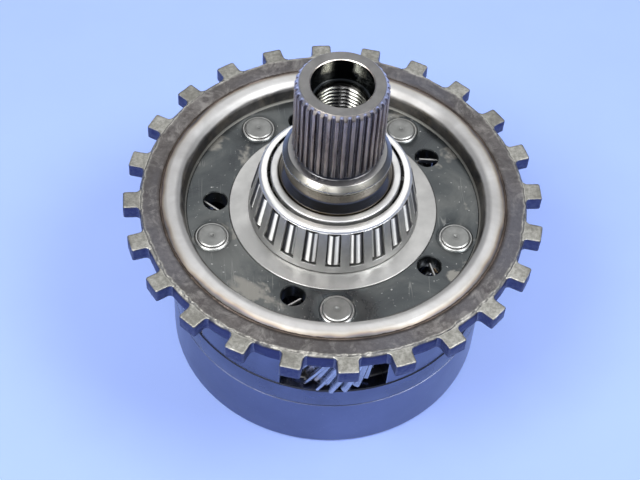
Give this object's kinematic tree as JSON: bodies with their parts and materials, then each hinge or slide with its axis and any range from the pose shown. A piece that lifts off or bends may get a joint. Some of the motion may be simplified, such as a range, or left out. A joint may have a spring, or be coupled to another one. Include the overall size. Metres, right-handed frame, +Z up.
{
  "type": "planetary gear set",
  "caption": "Rear planetary carrier with helical planets, splined hollow output shaft, tapered roller bearing cone, lug ring and internally toothed drum.",
  "frame": {"origin": "centre of the drum's lower rim, on the shaft's axis", "axes": "+Z up the output shaft; -Y through the middle of one parking lug"},
  "size_m": [0.173, 0.173, 0.151],
  "materials": {
    "machined_steel": "turned and ground steel, satin bright",
    "forged_steel": "rough forged and sintered grey-brown steel",
    "dark_steel": "smooth dark oiled steel",
    "shaft_steel": "hardened purple-grey steel, oiled",
    "bearing_steel": "ground bright bearing steel",
    "gear_steel": "ground hardened gear steel",
    "washer_bronze": "dull bronze-faced washer"
  },
  "bodies": {
    "carrier": {"carrier_housing": "machined_steel", "carrier_end_plate": "machined_steel", "parking_lug_ring": "forged_steel", "annulus_drum": "dark_steel", "output_shaft": "shaft_steel", "bearing_inner_race": "bearing_steel", "sun_thrust_washer": "washer_bronze", "planet_pin_1": "machined_steel", "planet_washer_upper_1": "washer_bronze", "planet_washer_lower_1": "washer_bronze", "planet_pin_2": "machined_steel", "planet_washer_upper_2": "washer_bronze", "planet_washer_lower_2": "washer_bronze", "planet_pin_3": "machined_steel", "planet_washer_upper_3": "washer_bronze", "planet_washer_lower_3": "washer_bronze", "planet_pin_4": "machined_steel", "planet_washer_upper_4": "washer_bronze", "planet_washer_lower_4": "washer_bronze", "planet_pin_5": "machined_steel", "planet_washer_upper_5": "washer_bronze", "planet_washer_lower_5": "washer_bronze"},
    "sun": {"sun_gear": "gear_steel"},
    "planet_1": {"planet_gear_1": "gear_steel"},
    "needles_1": {"planet_needle_bearing_1": "bearing_steel"},
    "planet_2": {"planet_gear_2": "gear_steel"},
    "needles_2": {"planet_needle_bearing_2": "bearing_steel"},
    "planet_3": {"planet_gear_3": "gear_steel"},
    "needles_3": {"planet_needle_bearing_3": "bearing_steel"},
    "planet_4": {"planet_gear_4": "gear_steel"},
    "needles_4": {"planet_needle_bearing_4": "bearing_steel"},
    "planet_5": {"planet_gear_5": "gear_steel"},
    "needles_5": {"planet_needle_bearing_5": "bearing_steel"},
    "cage": {"bearing_cage": "bearing_steel"},
    "roller_01": {"bearing_roller_01": "bearing_steel"},
    "roller_02": {"bearing_roller_02": "bearing_steel"},
    "roller_03": {"bearing_roller_03": "bearing_steel"},
    "roller_04": {"bearing_roller_04": "bearing_steel"},
    "roller_05": {"bearing_roller_05": "bearing_steel"},
    "roller_06": {"bearing_roller_06": "bearing_steel"},
    "roller_07": {"bearing_roller_07": "bearing_steel"},
    "roller_08": {"bearing_roller_08": "bearing_steel"},
    "roller_09": {"bearing_roller_09": "bearing_steel"},
    "roller_10": {"bearing_roller_10": "bearing_steel"},
    "roller_11": {"bearing_roller_11": "bearing_steel"},
    "roller_12": {"bearing_roller_12": "bearing_steel"},
    "roller_13": {"bearing_roller_13": "bearing_steel"},
    "roller_14": {"bearing_roller_14": "bearing_steel"},
    "roller_15": {"bearing_roller_15": "bearing_steel"},
    "roller_16": {"bearing_roller_16": "bearing_steel"},
    "roller_17": {"bearing_roller_17": "bearing_steel"},
    "roller_18": {"bearing_roller_18": "bearing_steel"},
    "roller_19": {"bearing_roller_19": "bearing_steel"},
    "roller_20": {"bearing_roller_20": "bearing_steel"},
    "roller_21": {"bearing_roller_21": "bearing_steel"},
    "roller_22": {"bearing_roller_22": "bearing_steel"}
  },
  "joints": [
    {"name": "sun_spin", "type": "hinge", "parent": "carrier", "child": "sun", "pos_m": [0, 0, 0.0551], "axis": [0, 0, 1], "continuous": true},
    {"name": "planet_1_spin", "type": "hinge", "parent": "carrier", "child": "planet_1", "pos_m": [-0.00183, -0.05247, 0.0551], "axis": [0, 0, 1], "continuous": true},
    {"name": "needles_1_spin", "type": "hinge", "parent": "carrier", "child": "needles_1", "pos_m": [-0.00183, -0.05247, 0.0551], "axis": [0, 0, 1], "continuous": true},
    {"name": "planet_2_spin", "type": "hinge", "parent": "carrier", "child": "planet_2", "pos_m": [0.04933, -0.01796, 0.0551], "axis": [0, 0, 1], "continuous": true},
    {"name": "needles_2_spin", "type": "hinge", "parent": "carrier", "child": "needles_2", "pos_m": [0.04933, -0.01796, 0.0551], "axis": [0, 0, 1], "continuous": true},
    {"name": "planet_3_spin", "type": "hinge", "parent": "carrier", "child": "planet_3", "pos_m": [0.03232, 0.04137, 0.0551], "axis": [0, 0, 1], "continuous": true},
    {"name": "needles_3_spin", "type": "hinge", "parent": "carrier", "child": "needles_3", "pos_m": [0.03232, 0.04137, 0.0551], "axis": [0, 0, 1], "continuous": true},
    {"name": "planet_4_spin", "type": "hinge", "parent": "carrier", "child": "planet_4", "pos_m": [-0.02936, 0.04352, 0.0551], "axis": [0, 0, 1], "continuous": true},
    {"name": "needles_4_spin", "type": "hinge", "parent": "carrier", "child": "needles_4", "pos_m": [-0.02936, 0.04352, 0.0551], "axis": [0, 0, 1], "continuous": true},
    {"name": "planet_5_spin", "type": "hinge", "parent": "carrier", "child": "planet_5", "pos_m": [-0.05047, -0.01447, 0.0551], "axis": [0, 0, 1], "continuous": true},
    {"name": "needles_5_spin", "type": "hinge", "parent": "carrier", "child": "needles_5", "pos_m": [-0.05047, -0.01447, 0.0551], "axis": [0, 0, 1], "continuous": true},
    {"name": "cage_spin", "type": "hinge", "parent": "carrier", "child": "cage", "pos_m": [0, 0, 0.0886], "axis": [0, 0, 1], "continuous": true},
    {"name": "roller_01_spin", "type": "hinge", "parent": "cage", "child": "roller_01", "pos_m": [-0.0023, -0.02988, 0.08925], "axis": [0.0143, 0.186, 0.9825], "continuous": true},
    {"name": "roller_02_spin", "type": "hinge", "parent": "cage", "child": "roller_02", "pos_m": [0.00621, -0.02932, 0.08925], "axis": [-0.0387, 0.1825, 0.9825], "continuous": true},
    {"name": "roller_03_spin", "type": "hinge", "parent": "cage", "child": "roller_03", "pos_m": [0.01422, -0.02638, 0.08925], "axis": [-0.0885, 0.1642, 0.9825], "continuous": true},
    {"name": "roller_04_spin", "type": "hinge", "parent": "cage", "child": "roller_04", "pos_m": [0.02108, -0.02131, 0.08925], "axis": [-0.1312, 0.1326, 0.9825], "continuous": true},
    {"name": "roller_05_spin", "type": "hinge", "parent": "cage", "child": "roller_05", "pos_m": [0.02623, -0.0145, 0.08925], "axis": [-0.1632, 0.0903, 0.9825], "continuous": true},
    {"name": "roller_06_spin", "type": "hinge", "parent": "cage", "child": "roller_06", "pos_m": [0.02925, -0.00653, 0.08925], "axis": [-0.182, 0.0406, 0.9825], "continuous": true},
    {"name": "roller_07_spin", "type": "hinge", "parent": "cage", "child": "roller_07", "pos_m": [0.0299, 0.00198, 0.08925], "axis": [-0.1861, -0.0123, 0.9825], "continuous": true},
    {"name": "roller_08_spin", "type": "hinge", "parent": "cage", "child": "roller_08", "pos_m": [0.02814, 0.01032, 0.08925], "axis": [-0.1751, -0.0642, 0.9825], "continuous": true},
    {"name": "roller_09_spin", "type": "hinge", "parent": "cage", "child": "roller_09", "pos_m": [0.02409, 0.01783, 0.08925], "axis": [-0.1499, -0.111, 0.9825], "continuous": true},
    {"name": "roller_10_spin", "type": "hinge", "parent": "cage", "child": "roller_10", "pos_m": [0.01809, 0.02389, 0.08925], "axis": [-0.1126, -0.1487, 0.9825], "continuous": true},
    {"name": "roller_11_spin", "type": "hinge", "parent": "cage", "child": "roller_11", "pos_m": [0.01062, 0.02802, 0.08925], "axis": [-0.0661, -0.1744, 0.9825], "continuous": true},
    {"name": "roller_12_spin", "type": "hinge", "parent": "cage", "child": "roller_12", "pos_m": [0.0023, 0.02988, 0.08925], "axis": [-0.0143, -0.186, 0.9825], "continuous": true},
    {"name": "roller_13_spin", "type": "hinge", "parent": "cage", "child": "roller_13", "pos_m": [-0.00621, 0.02932, 0.08925], "axis": [0.0387, -0.1825, 0.9825], "continuous": true},
    {"name": "roller_14_spin", "type": "hinge", "parent": "cage", "child": "roller_14", "pos_m": [-0.01422, 0.02638, 0.08925], "axis": [0.0885, -0.1642, 0.9825], "continuous": true},
    {"name": "roller_15_spin", "type": "hinge", "parent": "cage", "child": "roller_15", "pos_m": [-0.02108, 0.02131, 0.08925], "axis": [0.1312, -0.1326, 0.9825], "continuous": true},
    {"name": "roller_16_spin", "type": "hinge", "parent": "cage", "child": "roller_16", "pos_m": [-0.02623, 0.0145, 0.08925], "axis": [0.1632, -0.0903, 0.9825], "continuous": true},
    {"name": "roller_17_spin", "type": "hinge", "parent": "cage", "child": "roller_17", "pos_m": [-0.02925, 0.00653, 0.08925], "axis": [0.182, -0.0406, 0.9825], "continuous": true},
    {"name": "roller_18_spin", "type": "hinge", "parent": "cage", "child": "roller_18", "pos_m": [-0.0299, -0.00198, 0.08925], "axis": [0.1861, 0.0123, 0.9825], "continuous": true},
    {"name": "roller_19_spin", "type": "hinge", "parent": "cage", "child": "roller_19", "pos_m": [-0.02814, -0.01032, 0.08925], "axis": [0.1751, 0.0642, 0.9825], "continuous": true},
    {"name": "roller_20_spin", "type": "hinge", "parent": "cage", "child": "roller_20", "pos_m": [-0.02409, -0.01783, 0.08925], "axis": [0.1499, 0.111, 0.9825], "continuous": true},
    {"name": "roller_21_spin", "type": "hinge", "parent": "cage", "child": "roller_21", "pos_m": [-0.01809, -0.02389, 0.08925], "axis": [0.1126, 0.1487, 0.9825], "continuous": true},
    {"name": "roller_22_spin", "type": "hinge", "parent": "cage", "child": "roller_22", "pos_m": [-0.01062, -0.02802, 0.08925], "axis": [0.0661, 0.1744, 0.9825], "continuous": true}
  ],
  "couplings": [
    {"joint": "planet_1_spin", "follows": "sun_spin", "ratio": -2.3333},
    {"joint": "needles_1_spin", "follows": "sun_spin", "ratio": -1.4359},
    {"joint": "planet_2_spin", "follows": "sun_spin", "ratio": -2.3333},
    {"joint": "needles_2_spin", "follows": "sun_spin", "ratio": -1.4359},
    {"joint": "planet_3_spin", "follows": "sun_spin", "ratio": -2.3333},
    {"joint": "needles_3_spin", "follows": "sun_spin", "ratio": -1.4359},
    {"joint": "planet_4_spin", "follows": "sun_spin", "ratio": -2.3333},
    {"joint": "needles_4_spin", "follows": "sun_spin", "ratio": -1.4359},
    {"joint": "planet_5_spin", "follows": "sun_spin", "ratio": -2.3333},
    {"joint": "needles_5_spin", "follows": "sun_spin", "ratio": -1.4359},
    {"joint": "roller_01_spin", "follows": "cage_spin", "ratio": 8.2852},
    {"joint": "roller_02_spin", "follows": "cage_spin", "ratio": 8.2852},
    {"joint": "roller_03_spin", "follows": "cage_spin", "ratio": 8.2852},
    {"joint": "roller_04_spin", "follows": "cage_spin", "ratio": 8.2852},
    {"joint": "roller_05_spin", "follows": "cage_spin", "ratio": 8.2852},
    {"joint": "roller_06_spin", "follows": "cage_spin", "ratio": 8.2852},
    {"joint": "roller_07_spin", "follows": "cage_spin", "ratio": 8.2852},
    {"joint": "roller_08_spin", "follows": "cage_spin", "ratio": 8.2852},
    {"joint": "roller_09_spin", "follows": "cage_spin", "ratio": 8.2852},
    {"joint": "roller_10_spin", "follows": "cage_spin", "ratio": 8.2852},
    {"joint": "roller_11_spin", "follows": "cage_spin", "ratio": 8.2852},
    {"joint": "roller_12_spin", "follows": "cage_spin", "ratio": 8.2852},
    {"joint": "roller_13_spin", "follows": "cage_spin", "ratio": 8.2852},
    {"joint": "roller_14_spin", "follows": "cage_spin", "ratio": 8.2852},
    {"joint": "roller_15_spin", "follows": "cage_spin", "ratio": 8.2852},
    {"joint": "roller_16_spin", "follows": "cage_spin", "ratio": 8.2852},
    {"joint": "roller_17_spin", "follows": "cage_spin", "ratio": 8.2852},
    {"joint": "roller_18_spin", "follows": "cage_spin", "ratio": 8.2852},
    {"joint": "roller_19_spin", "follows": "cage_spin", "ratio": 8.2852},
    {"joint": "roller_20_spin", "follows": "cage_spin", "ratio": 8.2852},
    {"joint": "roller_21_spin", "follows": "cage_spin", "ratio": 8.2852},
    {"joint": "roller_22_spin", "follows": "cage_spin", "ratio": 8.2852}
  ]
}
